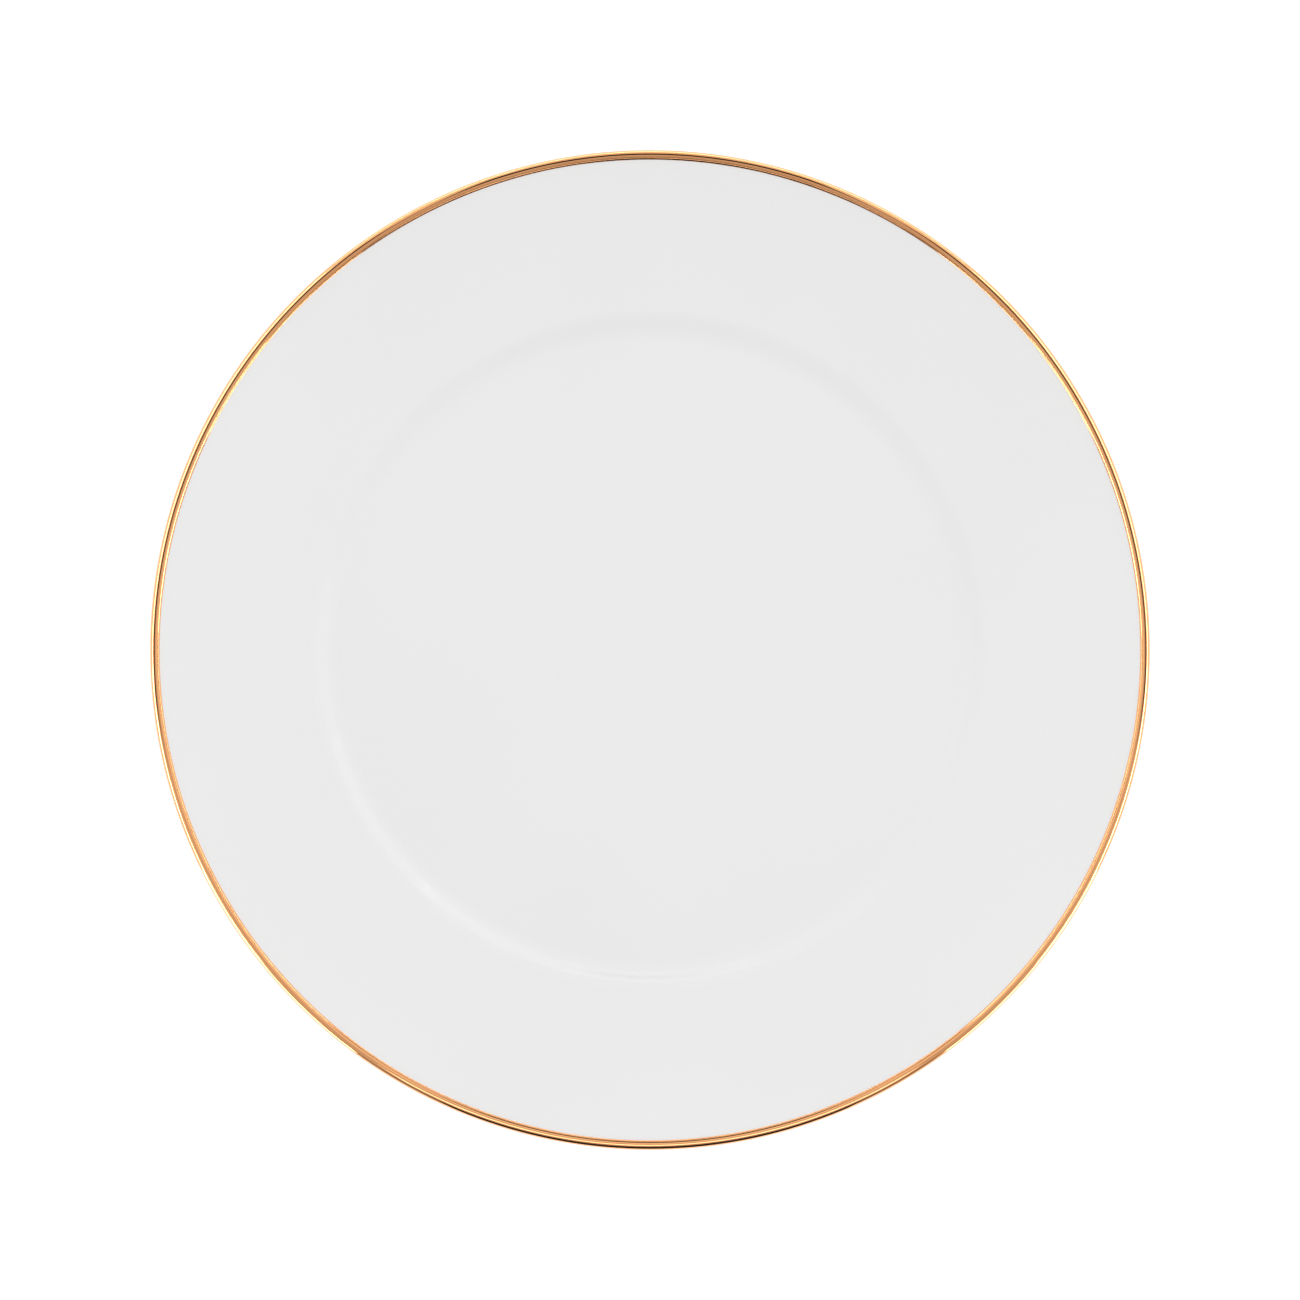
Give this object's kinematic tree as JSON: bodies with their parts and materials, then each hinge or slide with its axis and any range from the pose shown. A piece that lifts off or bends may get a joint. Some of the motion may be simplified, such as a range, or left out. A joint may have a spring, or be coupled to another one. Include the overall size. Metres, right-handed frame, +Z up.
{
  "type": "dinner plate",
  "caption": "Round china dinner plate with a shallow well, a gently rising rim, a bare-tipped foot ring and a gold band around its rounded lip.",
  "frame": {"origin": "on the table under the middle of the plate, in the plane of the foot ring's standing face", "axes": "+Z up along the plate's axis of revolution, out of the well; X and Y lie in the table's plane"},
  "size_m": [0.27, 0.27, 0.0195],
  "materials": {
    "bisque": "matte",
    "glaze": "gloss",
    "gold": "polished"
  },
  "bodies": {
    "root": {"china_body": "bisque", "outer_glaze": "glaze", "base_glaze": "glaze", "gold_rim_band": "gold"}
  },
  "joints": []
}
